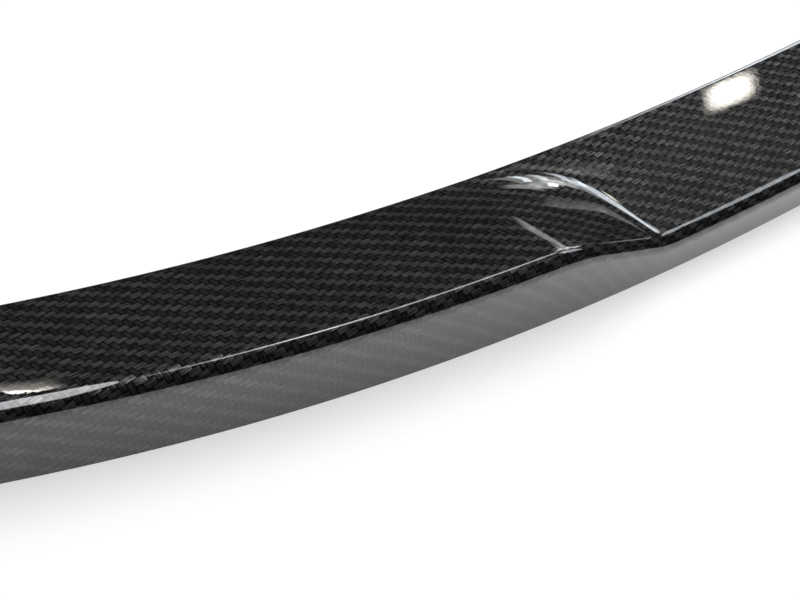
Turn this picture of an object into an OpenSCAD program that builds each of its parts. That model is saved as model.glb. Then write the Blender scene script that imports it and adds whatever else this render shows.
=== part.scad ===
// Rear boot-lid lip spoiler, one hollow glossy laminate moulding.
// Millimetres. +X to the right, +Y to the front of the car, +Z up.
// The bottom edge of the rear face lies in the plane z = 0, and the origin is
// the middle of the part's base.

/* [Overall] */
// Width from tip to tip
overall_w = 1140; // [1000:5:1280]
// How far the tips sweep forward of the middle of the rear face
tip_sweep = 123; // [70:1:170]
// Share of that sweep that is an even bow, the rest bends in near the tips
bow_share = 0.515; // [0.3:0.005:1]

/* [Top surface] */
// Depth from the rear face's bottom edge to the leading edge, in the middle
depth_mid = 50.6; // [42:0.1:70]
// The same depth at the tips, before their rounded corner
depth_tip = 40; // [34:0.5:50]
// Height of the leading edge's top
lead_h = 19; // [16:0.1:26]
// Height of the top surface over the rear face, raised flanks
flank_h = 27.9; // [24:0.1:36]
// Height of the top surface over the rear face, low middle
middle_h = 16.8; // [14:0.1:22]
// Crown of the top surface between leading edge and nose
crown = 0.4; // [0:0.1:1.2]

/* [Nose and rear face] */
// Radius of the rounded nose
nose_r = 4.5; // [3:0.1:5]
// How far the nose stands out behind the bottom edge
nose_out = 2; // [0.5:0.1:3]

/* [Scallops] */
// Half width of the low middle at the nose
middle_half_w = 251; // [120:1:330]
// Length of each step from low to raised, along the nose
step_len = 38; // [30:1:70]
// Half length of the tight rounding at the step's foot
foot_round = 5; // [3:0.5:8]
// Half length of the soft rounding at the step's shoulder
shoulder_round = 9; // [5:0.5:14]
// How far the step's foot swings outward towards the leading edge
foot_swing = 33; // [0:1:50]
// Share of the depth, from the nose, where the foot runs straight
foot_straight = 0.4; // [0.2:0.05:0.7]

/* [Laminate] */
// Wall thickness
wall = 2; // [1.4:0.1:2.4]
// Thickness at the leading edge, over the bonding land
lead_t = 2.5; // [2.2:0.1:3.2]
// Width of the flat bonding land under the leading edge
land_w = 12; // [8:0.5:16]
// Radius on the leading edge's top corner
lead_r = 0.9; // [0.4:0.1:1.2]

/* [Tips] */
// Length over which the flanks run down to the tips
run_len = 110; // [60:1:150]
// Height of the top surface over the rear face at the tips
tip_h = 21; // [19.5:0.1:24]
// Length of the rounded corner at each tip
corner_len = 60; // [30:1:80]
// Depth left at the cut end of each tip
tip_end_d = 15; // [14:0.5:24]

/* [Hidden] */
half_w = overall_w / 2;
land_h = lead_h - lead_t;
nose_cy = nose_r - nose_out;
n_mid = 9;
n_foot = 10;
n_step = 28;
n_flank = 6;
n_corner = 10;
n_nose = 8;
n_top = 12;
n_under = 5;
n_inner = 3;

// Smooth 0 to 1
function ease(t) = let (c = min(max(t, 0), 1)) c * c * (3 - 2 * c);

// Forward position of the rear face's bottom edge, and its slope
function bow(x) = let (t = x / half_w)
    tip_sweep * (bow_share * t * t + (1 - bow_share) * pow(t, 4));
function bow_slope(x) = let (t = x / half_w)
    tip_sweep / half_w * (2 * bow_share * t + 4 * (1 - bow_share) * pow(t, 3));
function stretch(x) = sqrt(1 + pow(bow_slope(x), 2));

// Depth of the section, and how far its rear is cut back at the rounded tip
function depth(x) = depth_mid - (depth_mid - depth_tip) * pow(abs(x) / half_w, 4);
function corner_t(x) = min(max((abs(x) - half_w + corner_len) / corner_len, 0), 1);
function cut_back(x) = (depth(x) - tip_end_d) * (1 - sqrt(max(1 - pow(corner_t(x), 2), 0)));

// Height over the rear face on the flanks, running down to the tips
function raised_h(x) =
    flank_h - (flank_h - tip_h) * ease((abs(x) - half_w + run_len) / run_len);

// From 0 to 1 over the step's length, straight, with foot and shoulder rounded
function rounded_ramp(d) = d < foot_round
    ? pow(max(d + foot_round, 0), 2) / (4 * foot_round * step_len)
    : d > step_len - shoulder_round
    ? 1 - pow(max(step_len + shoulder_round - d, 0), 2) / (4 * shoulder_round * step_len)
    : d / step_len;

// Share of the raised shape: 0 in the low middle, 1 on the flanks
function foot_x(v) = middle_half_w
    + foot_swing * pow(max(v - foot_straight, 0) / (1 - foot_straight), 3);
function raised(x, v) = rounded_ramp(abs(x) - foot_x(v));

// Height of the top surface; v is 0 over the rear face and 1 at the leading edge
function top_z(x, v) =
    let (rear_h = middle_h + (raised_h(x) - middle_h) * raised(x, v))
    lead_h + (1 - v) * (rear_h - lead_h) + crown * 4 * v * (1 - v);

// Closed outline of the section at x, as [forward, up] from the bottom edge
function section(x) =
    let (
        d = depth(x),
        b = cut_back(x),
        dd = d - b,
        land = min(land_w, 0.36 * dd),
        cy = b + nose_cy,
        vy = function (y) (y - b) / dd,
        rise = (top_z(x, vy(cy)) - top_z(x, vy(cy + 1))),
        tilt = atan(rise),
        ty = cy + nose_r * sin(tilt),
        cz = top_z(x, vy(ty)) - nose_r * cos(tilt),
        lean = asin(nose_r / norm([nose_cy, cz])) - atan2(nose_cy, cz),
        inner_r = nose_r - wall,
        uy0 = cy + inner_r * sin(tilt),
        uy1 = d - land,
        edge_z = top_z(x, vy(d - lead_r)),
        nose = [for (i = [0:n_nose]) let (a = 180 + lean + (90 - tilt - 180 - lean) * i / n_nose)
            [cy + nose_r * cos(a), cz + nose_r * sin(a)]],
        top = [for (i = [1:n_top]) let (y = ty + (d - lead_r - ty) * i / n_top)
            [y, top_z(x, vy(y))]],
        lead = [for (a = [60, 30, 0])
            [d - lead_r + lead_r * cos(a), edge_z - lead_r + lead_r * sin(a)]],
        base = [[d, land_h], [uy1, land_h]],
        under = [for (i = [1:n_under]) let (y = uy1 + (uy0 - uy1) * i / n_under)
            [y, top_z(x, vy(y)) - wall / cos(tilt)]],
        inner = [for (i = [1:n_inner]) let (a = 90 - tilt + (90 + lean + tilt) * i / n_inner)
            [cy + inner_r * cos(a), cz + inner_r * sin(a)]],
        foot = [[b + wall / cos(lean), 0], [b, 0]]
    )
    concat(nose, top, lead, base, under, inner, foot);

// Where the sections stand, from the middle to one tip
foot_a = middle_half_w - foot_round - 1;
foot_b = middle_half_w + foot_round + 3;
step_b = min(middle_half_w + foot_swing + step_len + shoulder_round, half_w - run_len);
flank_b = half_w - corner_len;
web_a = asin((corner_len - wall) / corner_len);
right_side = concat(
    [for (i = [0:n_mid - 1]) foot_a * i / n_mid],
    [for (i = [0:n_foot - 1]) foot_a + (foot_b - foot_a) * i / n_foot],
    [for (i = [0:n_step - 1]) foot_b + (step_b - foot_b) * i / n_step],
    [for (i = [0:n_flank - 1]) step_b + (flank_b - step_b) * i / n_flank],
    [for (i = [0:n_corner]) flank_b + corner_len * sin(web_a * i / n_corner)]
);
stations = concat(
    [for (i = [len(right_side) - 1:-1:1]) -right_side[i]],
    right_side
);

// Front to back middle of the whole part, which becomes y = 0
mid_y = (bow(half_w) + depth(half_w) * stretch(half_w) - nose_out) / 2;
function place(x, p) = [x, bow(x) + p[0] * stretch(x) - mid_y, p[1]];

// One closed skin. The loops run from tip to tip; in each tip the hollow stops
// at a web as thick as the wall, so the last loop has no inner points.
module skin() {
    m = len(stations);
    inner_from = n_nose + n_top + 6;
    inner_to = inner_from + n_under + n_inner;
    loops = [for (x = stations) [for (p = section(x)) place(x, p)]];
    n = len(loops[0]);
    points = concat(
        [for (l = loops) each l],
        [for (p = section(half_w)) place(-half_w, p)],
        [for (p = section(half_w)) place(half_w, p)]
    );
    left = m * n;
    right = (m + 1) * n;
    outline = [for (i = [0:n - 1]) if (i <= inner_from || i > inner_to) i];
    hollow = [for (i = [inner_from:inner_to + 1]) i];
    k = len(outline);
    body = [for (j = [0:m - 2]) for (i = [0:n - 1])
        let (a = j * n + i, b = j * n + (i + 1) % n)
        each [[a, b, a + n], [b, b + n, a + n]]];
    tip_left = [for (i = [0:k - 1])
        let (a = outline[i], b = outline[(i + 1) % k])
        each [[left + a, left + b, a], [left + b, b, a]]];
    last = (m - 1) * n;
    tip_right = [for (i = [0:k - 1])
        let (a = outline[i], b = outline[(i + 1) % k])
        each [[last + a, last + b, right + a], [last + b, right + b, right + a]]];
    ends = [
        [for (i = [k - 1:-1:0]) left + outline[i]],
        [for (i = [0:k - 1]) right + outline[i]],
        [for (i = [len(hollow) - 1:-1:0]) hollow[i]],
        [for (i = [0:len(hollow) - 1]) last + hollow[i]]
    ];
    polyhedron(points, concat(body, tip_left, tip_right, ends), convexity = 8);
}

module spoiler() {
    color([0.11, 0.11, 0.12]) skin();
}

spoiler();
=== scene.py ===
import math
import bpy
from mathutils import Matrix, Vector


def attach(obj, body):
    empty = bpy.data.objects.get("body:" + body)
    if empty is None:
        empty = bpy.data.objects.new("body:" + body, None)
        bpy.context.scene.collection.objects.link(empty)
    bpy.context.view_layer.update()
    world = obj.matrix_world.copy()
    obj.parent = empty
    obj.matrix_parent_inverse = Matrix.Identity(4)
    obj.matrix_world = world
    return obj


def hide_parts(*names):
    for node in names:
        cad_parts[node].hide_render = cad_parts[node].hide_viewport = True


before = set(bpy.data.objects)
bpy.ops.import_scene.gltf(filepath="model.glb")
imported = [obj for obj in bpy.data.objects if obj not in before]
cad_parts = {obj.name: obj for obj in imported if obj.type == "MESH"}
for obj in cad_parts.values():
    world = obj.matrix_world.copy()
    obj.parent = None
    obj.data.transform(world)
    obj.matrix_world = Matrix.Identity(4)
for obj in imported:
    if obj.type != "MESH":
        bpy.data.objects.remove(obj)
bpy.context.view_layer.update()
scene = bpy.context.scene
MM = 0.001

# Sizes in millimetres, the same as the solid's
OVERALL_W = 1140.0
TIP_SWEEP = 123.0
BOW_SHARE = 0.515
DEPTH_MID = 50.6
DEPTH_TIP = 40.0
LEAD_H = 19.0
FLANK_H = 27.9
MIDDLE_H = 16.8
CROWN = 0.4
NOSE_R = 4.5
NOSE_OUT = 2.0
MIDDLE_HALF_W = 251.0
STEP_LEN = 38.0
FOOT_ROUND = 5.0
SHOULDER_ROUND = 9.0
FOOT_SWING = 33.0
FOOT_STRAIGHT = 0.4
WALL = 2.0
LEAD_T = 2.5
LAND_W = 12.0
LEAD_R = 0.9
RUN_LEN = 110.0
TIP_H = 21.0
CORNER_LEN = 60.0
TIP_END_D = 15.0
HALF_W = OVERALL_W / 2
LAND_H = LEAD_H - LEAD_T
NOSE_CY = NOSE_R - NOSE_OUT
TOW = 2.0


# Camera, in the frame's metres and in degrees; yaw runs from +X to +Y, pitch looks down
SENSOR_W = 36.0
FOCAL_OVER_WIDTH = 2.4405
CAMERA_SPOT = (-0.70062, -0.27846, 0.38175)
CAMERA_YAW, CAMERA_PITCH, CAMERA_ROLL = 33.629, 40.246, 13.778


def place_camera():
    cam = bpy.data.cameras.new("camera")
    cam.sensor_width = SENSOR_W
    cam.lens = FOCAL_OVER_WIDTH * SENSOR_W
    cam.clip_start = 0.01
    cam.clip_end = 60
    yaw, pitch, roll = (math.radians(a) for a in (CAMERA_YAW, CAMERA_PITCH, CAMERA_ROLL))
    ahead = math.cos(pitch)
    forward = Vector((math.cos(yaw) * ahead, math.sin(yaw) * ahead, -math.sin(pitch)))
    level = Vector((math.sin(yaw), -math.cos(yaw), 0))
    upright = level.cross(forward)
    right = level * math.cos(roll) + upright * math.sin(roll)
    up = upright * math.cos(roll) - level * math.sin(roll)
    obj = bpy.data.objects.new("camera", cam)
    m = Matrix((right, up, -forward)).transposed().to_4x4()
    m.translation = Vector(CAMERA_SPOT)
    obj.matrix_world = m
    scene.collection.objects.link(obj)
    scene.camera = obj


place_camera()


# Form
def clamp(t):
    return min(max(t, 0.0), 1.0)


def ease(t):
    t = clamp(t)
    return t * t * (3 - 2 * t)


def rounded_ramp(d):
    """From 0 to 1 over STEP_LEN, straight, with its foot and its shoulder rounded."""
    if d < FOOT_ROUND:
        return max(d + FOOT_ROUND, 0) ** 2 / (4 * FOOT_ROUND * STEP_LEN)
    if d > STEP_LEN - SHOULDER_ROUND:
        return 1 - max(STEP_LEN + SHOULDER_ROUND - d, 0) ** 2 / (4 * SHOULDER_ROUND * STEP_LEN)
    return d / STEP_LEN


def bow(x):
    t = x / HALF_W
    return TIP_SWEEP * (BOW_SHARE * t * t + (1 - BOW_SHARE) * t ** 4)


def bow_slope(x):
    t = x / HALF_W
    return TIP_SWEEP / HALF_W * (2 * BOW_SHARE * t + 4 * (1 - BOW_SHARE) * t ** 3)


def stretch(x):
    return math.sqrt(1 + bow_slope(x) ** 2)


def depth(x):
    return DEPTH_MID - (DEPTH_MID - DEPTH_TIP) * (abs(x) / HALF_W) ** 4


def cut_back(x):
    t = clamp((abs(x) - HALF_W + CORNER_LEN) / CORNER_LEN)
    return (depth(x) - TIP_END_D) * (1 - math.sqrt(max(1 - t * t, 0)))


def raised_h(x):
    return FLANK_H - (FLANK_H - TIP_H) * ease((abs(x) - HALF_W + RUN_LEN) / RUN_LEN)


def raised(x, v):
    swing = FOOT_SWING * (max(v - FOOT_STRAIGHT, 0) / (1 - FOOT_STRAIGHT)) ** 3
    return rounded_ramp(abs(x) - MIDDLE_HALF_W - swing)


def top_z(x, v):
    rear = MIDDLE_H + (raised_h(x) - MIDDLE_H) * raised(x, v)
    return LEAD_H + (1 - v) * (rear - LEAD_H) + CROWN * 4 * v * (1 - v)


MID_Y = (bow(HALF_W) + depth(HALF_W) * stretch(HALF_W) - NOSE_OUT) / 2
N_FACE, N_NOSE, N_TOP, N_UNDER, N_INNER = 5, 22, 48, 12, 6
LEAD_ANGLES = (75, 60, 45, 30, 15, 0)
LAND_SHARE = 0.36


def section(x):
    """Outline of the section at x: (forward, up, part) with part naming the run of points."""
    d, b = depth(x), cut_back(x)
    dd = d - b
    land = min(LAND_W, LAND_SHARE * dd)
    cy = b + NOSE_CY
    vy = lambda y: (y - b) / dd
    tilt = math.atan(top_z(x, vy(cy)) - top_z(x, vy(cy + 1)))
    ty = cy + NOSE_R * math.sin(tilt)
    cz = top_z(x, vy(ty)) - NOSE_R * math.cos(tilt)
    lean = math.asin(NOSE_R / math.hypot(NOSE_CY, cz)) - math.atan2(NOSE_CY, cz)
    inner_r = NOSE_R - WALL
    uy0, uy1 = cy + inner_r * math.sin(tilt), d - land
    edge_z = top_z(x, vy(d - LEAD_R))
    out = []
    a0, a1 = math.pi + lean, math.pi / 2 - tilt
    fy, fz = cy + NOSE_R * math.cos(a0), cz + NOSE_R * math.sin(a0)
    for i in range(N_FACE):
        t = i / N_FACE
        out.append((b + (fy - b) * t, fz * t, "face"))
    for i in range(N_NOSE + 1):
        a = a0 + (a1 - a0) * i / N_NOSE
        out.append((cy + NOSE_R * math.cos(a), cz + NOSE_R * math.sin(a), "nose"))
    for i in range(1, N_TOP + 1):
        y = ty + (d - LEAD_R - ty) * i / N_TOP
        out.append((y, top_z(x, vy(y)), "top"))
    for a in LEAD_ANGLES:
        a = math.radians(a)
        out.append((d - LEAD_R + LEAD_R * math.cos(a), edge_z - LEAD_R + LEAD_R * math.sin(a), "lead"))
    out.append((d, LAND_H, "base"))
    out.append((uy1, LAND_H, "base"))
    for i in range(1, N_UNDER + 1):
        y = uy1 + (uy0 - uy1) * i / N_UNDER
        out.append((y, top_z(x, vy(y)) - WALL / math.cos(tilt), "under"))
    for i in range(1, N_INNER + 1):
        a = math.pi / 2 - tilt + (math.pi / 2 + lean + tilt) * i / N_INNER
        out.append((cy + inner_r * math.cos(a), cz + inner_r * math.sin(a), "inner"))
    out.append((b + WALL / math.cos(lean), 0.0, "rim"))
    return out


# Distances between sections in millimetres, and how many stand at a tip
AT_FOOT, ON_STEP, ELSEWHERE = 0.5, 1.0, 5.0
FOOT_ZONE = 14.0
N_TIP = 24


def stations():
    """Where the sections stand: close together at the steps and at the tips."""
    step_start = MIDDLE_HALF_W - FOOT_ROUND - 1
    step_end = MIDDLE_HALF_W + FOOT_SWING + STEP_LEN + SHOULDER_ROUND
    side = []
    x = 0.0
    while x < HALF_W - CORNER_LEN - 2:
        side.append(x)
        if step_start < x < step_start + FOOT_ZONE:
            x += AT_FOOT
        elif step_start < x < step_end:
            x += ON_STEP
        else:
            x += ELSEWHERE
    web_a = math.asin((CORNER_LEN - WALL) / CORNER_LEN)
    for i in range(N_TIP + 1):
        side.append(HALF_W - CORNER_LEN + CORNER_LEN * math.sin(web_a * i / N_TIP))
    return [-s for s in reversed(side[1:])] + side


def spot(x, p):
    return (x * MM, (bow(x) + p[0] * stretch(x) - MID_Y) * MM, p[1] * MM)


def weave_uv(x, p, edge):
    """Cloth laid along X on the blade and folded over the nose, in tows."""
    if p[2] in ("face", "nose", "rim", "inner"):
        m = bow_slope(x)
        s = stretch(x)
        along = (p[0] - edge[0]) * m
        down = edge[2]
        u = x + (along + down * m) / s
        v = bow(x) + edge[0] * s + (along * m - down) / s
    else:
        u, v = x, bow(x) + p[0] * stretch(x)
    return (u / TOW, v / TOW)


SHARP_ANGLE = math.radians(35)


def build_skin():
    xs = stations()
    loops, uvs = [], []
    for x in xs + [-HALF_W, HALF_W]:
        s = section(x)
        crease = N_FACE + N_NOSE
        down = [0.0] * len(s)
        for i in range(crease - 1, -1, -1):
            down[i] = down[i + 1] + math.hypot(s[i][0] - s[i + 1][0], s[i][1] - s[i + 1][1])
        down[-1] = down[0]
        first_inner = len(s) - 1 - N_INNER
        for i in range(first_inner, len(s) - 1):
            down[i] = down[0] * (i - first_inner) / N_INNER
        loops.append([spot(x, p) for p in s])
        uvs.append([weave_uv(x, p, (s[crease][0], s[crease][1], down[i])) for i, p in enumerate(s)])
    n, m = len(loops[0]), len(xs)
    verts = [v for loop in loops for v in loop]
    flat_uv = [v for loop in uvs for v in loop]
    faces = []
    for j in range(m - 1):
        for i in range(n):
            k = (i + 1) % n
            faces.append((j * n + i, j * n + k, (j + 1) * n + k, (j + 1) * n + i))
    left, right, last = m * n, (m + 1) * n, (m - 1) * n
    hollow_from = N_FACE + N_NOSE + 1 + N_TOP + len(LEAD_ANGLES) + 1
    hollow_to = hollow_from + N_UNDER + N_INNER + 1
    outline = [i for i in range(n) if i <= hollow_from or i >= hollow_to]
    hollow = list(range(hollow_from, hollow_to + 1))
    for i, a in enumerate(outline):
        b = outline[(i + 1) % len(outline)]
        faces.append((left + a, left + b, b, a))
        faces.append((last + a, last + b, right + b, right + a))
    faces.append([left + i for i in reversed(outline)])
    faces.append([right + i for i in outline])
    faces.append(list(reversed(hollow)))
    faces.append([last + i for i in hollow])
    used = sorted({i for f in faces for i in f})
    number = {old: new for new, old in enumerate(used)}
    verts = [verts[i] for i in used]
    flat_uv = [flat_uv[i] for i in used]
    faces = [[number[i] for i in f] for f in faces]
    mesh = bpy.data.meshes.new("laminate_skin")
    mesh.from_pydata(verts, [], faces)
    mesh.validate()
    layer = mesh.uv_layers.new(name="Weave")
    for corner in mesh.loops:
        layer.data[corner.index].uv = flat_uv[corner.vertex_index]
    mesh.polygons.foreach_set("use_smooth", [True] * len(mesh.polygons))
    mesh.set_sharp_from_angle(angle=SHARP_ANGLE)
    mesh.update()
    obj = bpy.data.objects.new("laminate_skin", mesh)
    scene.collection.objects.link(obj)
    return obj


# Materials: the colours of the tows that run along X and across it, a painted sheen on the first and
# painted shade on the second, how far tows wander, in tow widths, and the relief of the cloth and of the
# coat's peel, in metres
PAINTED_SHEEN_TOW = (0.0515, 0.051, 0.049, 1)
PAINTED_SHADE_TOW = (0.0245, 0.0245, 0.0255, 1)
WANDER = 0.7
CLOTH_RELIEF = 0.00015
PEEL_RELIEF = 0.0000033
# Scale of the filament noise along a tow and across it
FILAMENT_ALONG, FILAMENT_ACROSS = 0.3, 5.5


class Nodes:
    def __init__(self, owner):
        owner.use_nodes = True
        self.tree = owner.node_tree
        self.tree.nodes.clear()

    def new(self, kind, **values):
        node = self.tree.nodes.new(kind)
        for key, value in values.items():
            setattr(node, key, value)
        return node

    def link(self, a, b):
        self.tree.links.new(a, b)

    def math(self, op, a, b=None):
        node = self.new("ShaderNodeMath", operation=op)
        for i, value in enumerate((a, b)):
            if value is None:
                continue
            if isinstance(value, (int, float)):
                node.inputs[i].default_value = value
            else:
                self.link(value, node.inputs[i])
        return node.outputs[0]

    def ramp(self, x, low, high, to_low=0.0, to_high=1.0):
        node = self.new("ShaderNodeMapRange", interpolation_type="SMOOTHSTEP")
        node.inputs["From Min"].default_value = low
        node.inputs["From Max"].default_value = high
        node.inputs["To Min"].default_value = to_low
        node.inputs["To Max"].default_value = to_high
        self.link(x, node.inputs["Value"])
        return node.outputs[0]

    def mix(self, factor, a, b):
        node = self.new("ShaderNodeMix", data_type="RGBA")
        self.link(factor, node.inputs["Factor"])
        for name, value in (("A", a), ("B", b)):
            socket = [s for s in node.inputs if s.name == name and s.type == "RGBA"][0]
            if isinstance(value, tuple):
                socket.default_value = value
            else:
                self.link(value, socket)
        return [s for s in node.outputs if s.type == "RGBA"][0]


def laminate():
    mat = bpy.data.materials.new("woven_laminate")
    n = Nodes(mat)
    uv = n.new("ShaderNodeUVMap", uv_map="Weave")
    # tows wander a little
    sway = n.new("ShaderNodeTexNoise")
    sway.inputs["Scale"].default_value = 0.11
    sway.inputs["Detail"].default_value = 1.0
    n.link(uv.outputs[0], sway.inputs["Vector"])
    offset = n.new("ShaderNodeVectorMath", operation="SCALE")
    centred = n.new("ShaderNodeVectorMath", operation="SUBTRACT")
    centred.inputs[1].default_value = (0.5, 0.5, 0.5)
    n.link(sway.outputs["Color"], centred.inputs[0])
    n.link(centred.outputs[0], offset.inputs[0])
    offset.inputs["Scale"].default_value = WANDER
    cloth = n.new("ShaderNodeVectorMath", operation="ADD")
    n.link(uv.outputs[0], cloth.inputs[0])
    n.link(offset.outputs[0], cloth.inputs[1])
    split = n.new("ShaderNodeSeparateXYZ")
    n.link(cloth.outputs[0], split.inputs[0])
    a = split.outputs[0]
    b = n.math("MULTIPLY", split.outputs[1], -1.0)
    cell_a, cell_b = n.math("FLOOR", a), n.math("FLOOR", b)
    in_a, in_b = n.math("FRACT", a), n.math("FRACT", b)
    # 2 by 2 twill: which tow lies on top, counted along the diagonal
    step = n.math("FLOORED_MODULO", n.math("SUBTRACT", cell_a, cell_b), 4.0)
    along_x = n.math("LESS_THAN", step, 1.5)
    along_y = n.math("SUBTRACT", 1.0, along_x)
    second_x = n.math("FLOORED_MODULO", step, 2.0)
    second_y = n.math("SUBTRACT", 1.0, second_x)
    pick = lambda p, q: n.math("ADD", n.math("MULTIPLY", along_x, p), n.math("MULTIPLY", along_y, q))
    # place along the float, 0 to 1 over its two cells, and across the tow
    run_x = n.math("MULTIPLY", n.math("ADD", in_a, second_x), 0.5)
    run_y = n.math("MULTIPLY", n.math("ADD", in_b, second_y), 0.5)
    run = pick(run_x, run_y)
    across = pick(in_b, in_a)
    # crowned float: high in its middle, low at its ends and its edges; the same height darkens the colour
    # there as painted shade
    off_middle = lambda t: n.math("ABSOLUTE", n.math("SUBTRACT", n.math("MULTIPLY", t, 2.0), 1.0))
    ends = n.math("SUBTRACT", 1.0, n.math("POWER", off_middle(run), pick(6.0, 2.2)))
    sides = n.math("SUBTRACT", 1.0, n.math("POWER", off_middle(across), pick(6.0, 4.0)))
    height = n.math("MULTIPLY", ends, sides)
    # fine filaments along each tow
    hair = []
    for scale in ((FILAMENT_ALONG, FILAMENT_ACROSS, 1.0), (FILAMENT_ACROSS, FILAMENT_ALONG, 1.0)):
        along = n.new("ShaderNodeMapping")
        along.inputs["Scale"].default_value = scale
        n.link(cloth.outputs[0], along.inputs["Vector"])
        noise = n.new("ShaderNodeTexNoise")
        noise.inputs["Scale"].default_value = 1.0
        noise.inputs["Detail"].default_value = 3.0
        n.link(along.outputs[0], noise.inputs["Vector"])
        hair.append(noise.outputs["Fac"])
    filament = pick(hair[0], hair[1])
    # each float has its own tone
    name = n.new("ShaderNodeCombineXYZ")
    n.link(n.math("SUBTRACT", cell_a, n.math("MULTIPLY", second_x, along_x)), name.inputs[0])
    n.link(n.math("SUBTRACT", cell_b, n.math("MULTIPLY", second_y, along_y)), name.inputs[1])
    n.link(along_x, name.inputs[2])
    own = n.new("ShaderNodeTexWhiteNoise")
    n.link(name.outputs[0], own.inputs["Vector"])
    drift = n.new("ShaderNodeTexNoise")
    drift.inputs["Scale"].default_value = 0.06
    drift.inputs["Detail"].default_value = 2.0
    n.link(uv.outputs[0], drift.inputs["Vector"])
    # painted sheen: tows along X are coloured lighter and tows across X darker, standing in for the
    # fibres' sheen
    painted_sheen_tone = n.mix(along_x, PAINTED_SHADE_TOW, PAINTED_SHEEN_TOW)
    grain = n.ramp(filament, 0.3, 0.7, 0.25, 1.75)
    # painted shade: the colour darkens towards each float's ends and edges, where it dips under its
    # neighbours, nearly to black at the ends of the tows across X
    crown_painted_shade_x = n.ramp(height, 0.0, 0.8, 0.12, 1.0)
    crown_painted_shade_y = n.ramp(height, 0.05, 0.8, 0.02, 1.0)
    shade = n.math("MULTIPLY", pick(crown_painted_shade_x, crown_painted_shade_y), grain)
    own_tone = n.math("ADD", 0.9, n.math("MULTIPLY", own.outputs["Value"], 0.2))
    shade = n.math("MULTIPLY", shade, own_tone)
    shade = n.math("MULTIPLY", shade, n.ramp(drift.outputs["Fac"], 0.3, 0.7, 0.92, 1.08))
    scaled = n.new("ShaderNodeVectorMath", operation="SCALE")
    n.link(painted_sheen_tone, scaled.inputs[0])
    n.link(shade, scaled.inputs["Scale"])
    bump = n.new("ShaderNodeBump")
    bump.inputs["Strength"].default_value = 0.4
    bump.inputs["Distance"].default_value = CLOTH_RELIEF
    n.link(n.math("ADD", height, n.math("MULTIPLY", filament, 0.08)), bump.inputs["Height"])
    # the clear coat lies almost flat, with a faint peel
    peel = n.new("ShaderNodeTexNoise")
    peel.inputs["Scale"].default_value = 0.9
    peel.inputs["Detail"].default_value = 2.0
    n.link(uv.outputs[0], peel.inputs["Vector"])
    gloss = n.new("ShaderNodeBump")
    gloss.inputs["Strength"].default_value = 1.0
    gloss.inputs["Distance"].default_value = PEEL_RELIEF
    n.link(peel.outputs["Fac"], gloss.inputs["Height"])
    shader = n.new("ShaderNodeBsdfPrincipled")
    n.link(gloss.outputs[0], shader.inputs["Coat Normal"])
    n.link(scaled.outputs[0], shader.inputs["Base Color"])
    n.link(bump.outputs[0], shader.inputs["Normal"])
    shader.inputs["Metallic"].default_value = 0.46
    shader.inputs["Specular IOR Level"].default_value = 0.0
    shader.inputs["Specular Tint"].default_value = (0.5, 0.5, 0.5, 1)
    shader.inputs["Roughness"].default_value = 0.22
    shader.inputs["Coat Weight"].default_value = 1.0
    shader.inputs["Coat Roughness"].default_value = 0.012
    shader.inputs["Coat IOR"].default_value = 1.55
    out = n.new("ShaderNodeOutputMaterial")
    n.link(shader.outputs[0], out.inputs["Surface"])
    return mat


skin = build_skin()
skin.data.materials.append(laminate())
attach(skin, "root")
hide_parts("spoiler")


# Floor, world and lights, in metres
FLOOR_HALF = 9.0
STEP_SPOT = (-0.26, -0.05, 0.025)
NEAR, FAR = 2.0, 8.0
# How bright the floor glows for the camera and for what mirrors it
FLOOR_SEEN, FLOOR_MIRRORED = 0.63, 0.77


def white_floor():
    h = FLOOR_HALF
    corners = [(-h, -h, 0), (h, -h, 0), (h, h, 0), (-h, h, 0)]
    mesh = bpy.data.meshes.new("floor")
    mesh.from_pydata(corners, [], [(0, 1, 2, 3)])
    obj = bpy.data.objects.new("floor", mesh)
    scene.collection.objects.link(obj)
    mat = bpy.data.materials.new("white_floor")
    n = Nodes(mat)
    path = n.new("ShaderNodeLightPath")
    mirrored = n.math("MAXIMUM", path.outputs["Is Glossy Ray"], path.outputs["Is Transmission Ray"])
    lit_seen = n.math("MULTIPLY", path.outputs["Is Camera Ray"], FLOOR_SEEN)
    lit_mirrored = n.math("MULTIPLY", mirrored, FLOOR_MIRRORED)
    plain = n.new("ShaderNodeBsdfDiffuse")
    plain.inputs["Color"].default_value = (0.42, 0.42, 0.43, 1)
    bright = n.new("ShaderNodeBsdfDiffuse")
    bright.inputs["Color"].default_value = (0.85, 0.85, 0.87, 1)
    diffuse = n.new("ShaderNodeMixShader")
    n.link(mirrored, diffuse.inputs[0])
    n.link(plain.outputs[0], diffuse.inputs[1])
    n.link(bright.outputs[0], diffuse.inputs[2])
    glow = n.new("ShaderNodeEmission")
    glow.inputs["Color"].default_value = (1, 1, 1, 1)
    n.link(n.math("ADD", lit_seen, lit_mirrored), glow.inputs["Strength"])
    add = n.new("ShaderNodeAddShader")
    n.link(diffuse.outputs[0], add.inputs[0])
    n.link(glow.outputs[0], add.inputs[1])
    out = n.new("ShaderNodeOutputMaterial")
    n.link(add.outputs[0], out.inputs["Surface"])
    obj.data.materials.append(mat)


def studio_world():
    world = bpy.data.worlds.new("studio")
    scene.world = world
    n = Nodes(world)
    path = n.new("ShaderNodeLightPath")
    back = n.new("ShaderNodeBackground")
    back.inputs["Color"].default_value = (1, 1, 1, 1)
    room = n.new("ShaderNodeBackground")
    room.inputs["Color"].default_value = (1, 1, 1, 1)
    room.inputs["Strength"].default_value = 0.025
    mix = n.new("ShaderNodeMixShader")
    n.link(path.outputs["Is Camera Ray"], mix.inputs[0])
    n.link(room.outputs[0], mix.inputs[1])
    n.link(back.outputs[0], mix.inputs[2])
    out = n.new("ShaderNodeOutputWorld")
    n.link(mix.outputs[0], out.inputs["Surface"])


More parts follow.
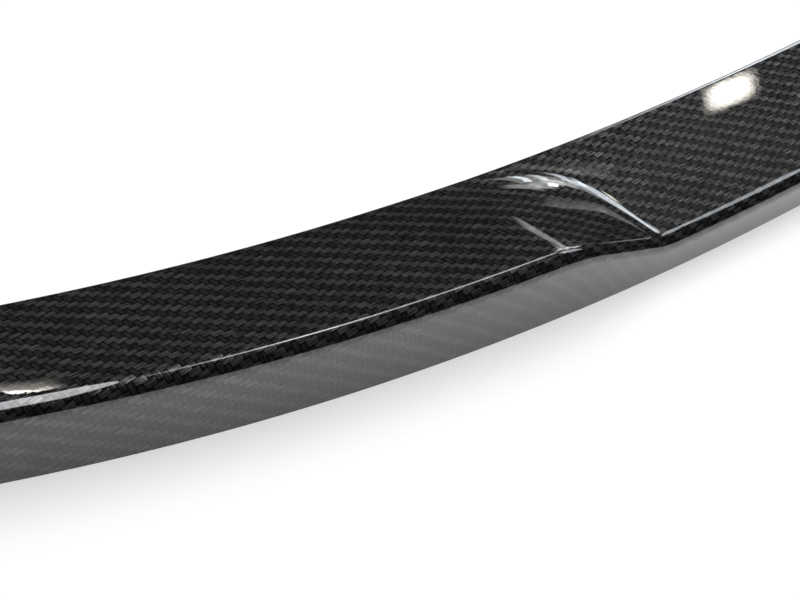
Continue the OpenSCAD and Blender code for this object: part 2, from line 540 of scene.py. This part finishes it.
def soften(light, left, right, bottom, top):
    """Fade a softbox over these shares of its width and height."""
    n = Nodes(light)
    split = n.new("ShaderNodeSeparateXYZ")
    n.link(n.new("ShaderNodeNewGeometry").outputs["Parametric"], split.inputs[0])
    u, v = split.outputs[0], split.outputs[1]
    fade = None
    for place, share, flip in ((u, right, False), (u, left, True), (v, bottom, False), (v, top, True)):
        if share <= 0:
            continue
        if flip:
            place = n.math("SUBTRACT", 1.0, place)
        part = n.ramp(place, 0.0, share)
        fade = part if fade is None else n.math("MULTIPLY", fade, part)
    glow = n.new("ShaderNodeEmission")
    n.link(fade, glow.inputs["Strength"])
    out = n.new("ShaderNodeOutputLight")
    n.link(glow.outputs[0], out.inputs["Surface"])


def area(name, place, turn, width, height, radiance, colour, fades=None):
    """A rectangular softbox of an even radiance, in its own colour."""
    light = bpy.data.lights.new(name, "AREA")
    light.shape = "RECTANGLE"
    light.size, light.size_y = width, height
    light.energy = radiance * math.pi * width * height
    light.color = colour
    if fades:
        soften(light, *fades)
    obj = bpy.data.objects.new(name, light)
    scene.collection.objects.link(obj)
    obj.location = place
    obj.rotation_euler = turn
    return obj


def softbox(name, azimuths, elevations, radiance, colour, fades=None, distance=NEAR, twist=0):
    """A softbox that the step sees between these angles, in degrees, azimuth from +Y to +X.

    A positive twist turns it clockwise as seen from the step.
    """
    az, el = (math.radians(sum(pair) / 2) for pair in (azimuths, elevations))
    way = Vector((math.cos(el) * math.sin(az), math.cos(el) * math.cos(az), math.sin(el)))
    width = 2 * distance * math.cos(el) * math.tan(math.radians(abs(azimuths[1] - azimuths[0]) / 2))
    height = 2 * distance * math.tan(math.radians(abs(elevations[1] - elevations[0]) / 2))
    turn = (-way).to_track_quat("-Z", "Y").to_matrix() @ Matrix.Rotation(math.radians(twist), 3, "Z")
    place = Vector(STEP_SPOT) + way * distance
    return area(name, place, turn.to_euler(), width, height, radiance, colour, fades)


white_floor()
studio_world()
COOL, CREAM, PLAIN = (0.87, 0.93, 1.0), (1.0, 0.95, 0.86), (1, 1, 1)
area("key", (0.103, 0.717, 1.8), (0, 0, math.radians(-28)), 0.81, 2.3, 7.5, (0.97, 0.98, 1.0))
softbox("window", (61.3, 72.6), (24.6, 30.0), 6.8, COOL, (0.1, 0, 0.4, 0.06), FAR)
softbox("window_right", (69.9, 73.4), (28.6, 33.0), 6.0, COOL, (0.4, 0, 0.0, 0.3), FAR, twist=14)
softbox("window_wing", (62.3, 64.0), (27.2, 32.8), 5.5, COOL, (0.3, 0.3, 0.2, 0.3), FAR, twist=-25)
softbox("window_sill", (57.4, 64.5), (21.4, 26.0), 3.2, PLAIN, (0.2, 0.3, 0.12, 0.3), FAR)
softbox("window_sill_right", (62.6, 72.6), (23.4, 26.2), 2.2, PLAIN, (0.2, 0.1, 0.5, 0.2), FAR, -22)
softbox("window_post", (60.5, 61.9), (26.0, 35.4), 6.5, COOL, (0.4, 0.15, 0.2, 0.35), FAR, twist=-4)
softbox("pane_2", (58.2, 59.3), (23.0, 32.0), 5.0, COOL, (0.3, 0.2, 0.2, 0.2), FAR, twist=2)
softbox("pane_3", (56.4, 57.3), (21.8, 30.2), 7.0, COOL, (0.2, 0.2, 0.05, 0.1), FAR, twist=4)
softbox("pane_haze", (55.0, 61.5), (20.6, 31.5), 1.8, PLAIN, (0.1, 0.1, 0.1, 0.4), FAR)
softbox("window_lamp", (58.4, 60.3), (20.3, 21.8), 18, CREAM, (0.3, 0.3, 0.3, 0.3), FAR)
softbox("window_foot", (53.2, 58.6), (17.9, 21.2), 1.8, PLAIN, (0.3, 0.3, 0.05, 0.4), FAR)
softbox("window_foot_right", (56.0, 59.6), (19.0, 22.0), 2.0, PLAIN, (0.3, 0.2, 0.1, 0.3), FAR, twist=-20)
softbox("wall_left", (57.6, 64.8), (14.9, 17.9), 0.6, PLAIN, (0.4, 0.15, 0.05, 0.6), FAR, twist=-20)
softbox("wall_middle", (63.4, 68.4), (15.9, 19.8), 0.8, PLAIN, (0.3, 0.2, 0.03, 0.7), FAR)
softbox("wall_right", (66.4, 72.6), (14.6, 17.6), 0.8, PLAIN, (0.25, 0.0, 0.05, 0.7), FAR, twist=45)
softbox("wall_low", (76.0, 96.0), (15.5, 19.0), 1.3, PLAIN, (0.1, 0.1, 0.1, 0.3))
softbox("lamp_front", (65.95, 68.4), (31.3, 33.7), 23, CREAM, (0.4, 0.4, 0.4, 0.4), FAR, twist=40)
softbox("lamp_side", (30.4, 33.8), (26.7, 28.2), 4.2, CREAM, (0.1, 0.5, 0.95, 0))
softbox("lamp_side_rim", (30.6, 33.8), (27.8, 28.2), 13, CREAM, (0.2, 0.5, 0.6, 0))
softbox("room_right", (60.0, 96.0), (31.0, 62.0), 0.08, (1.0, 0.97, 0.88), (0.2, 0, 0.1, 0.3))
softbox("bank_side", (56, 67), (36, 66), 6, PLAIN, (0.2, 0.2, 0.1, 0.1))
softbox("lamp_high", (58, 68), (52.5, 59), 9, CREAM, (0.2, 0.2, 0.3, 0.3))
softbox("bank_front", (74.2, 99), (36.4, 45.8), 4.3, COOL, (0.1, 0.1, 0, 0.1))
softbox("lamp_crease", (74.6, 84), (43.0, 46.5), 9, CREAM, (0.2, 0.2, 0.2, 0.2))

scene.view_settings.view_transform = "Standard"
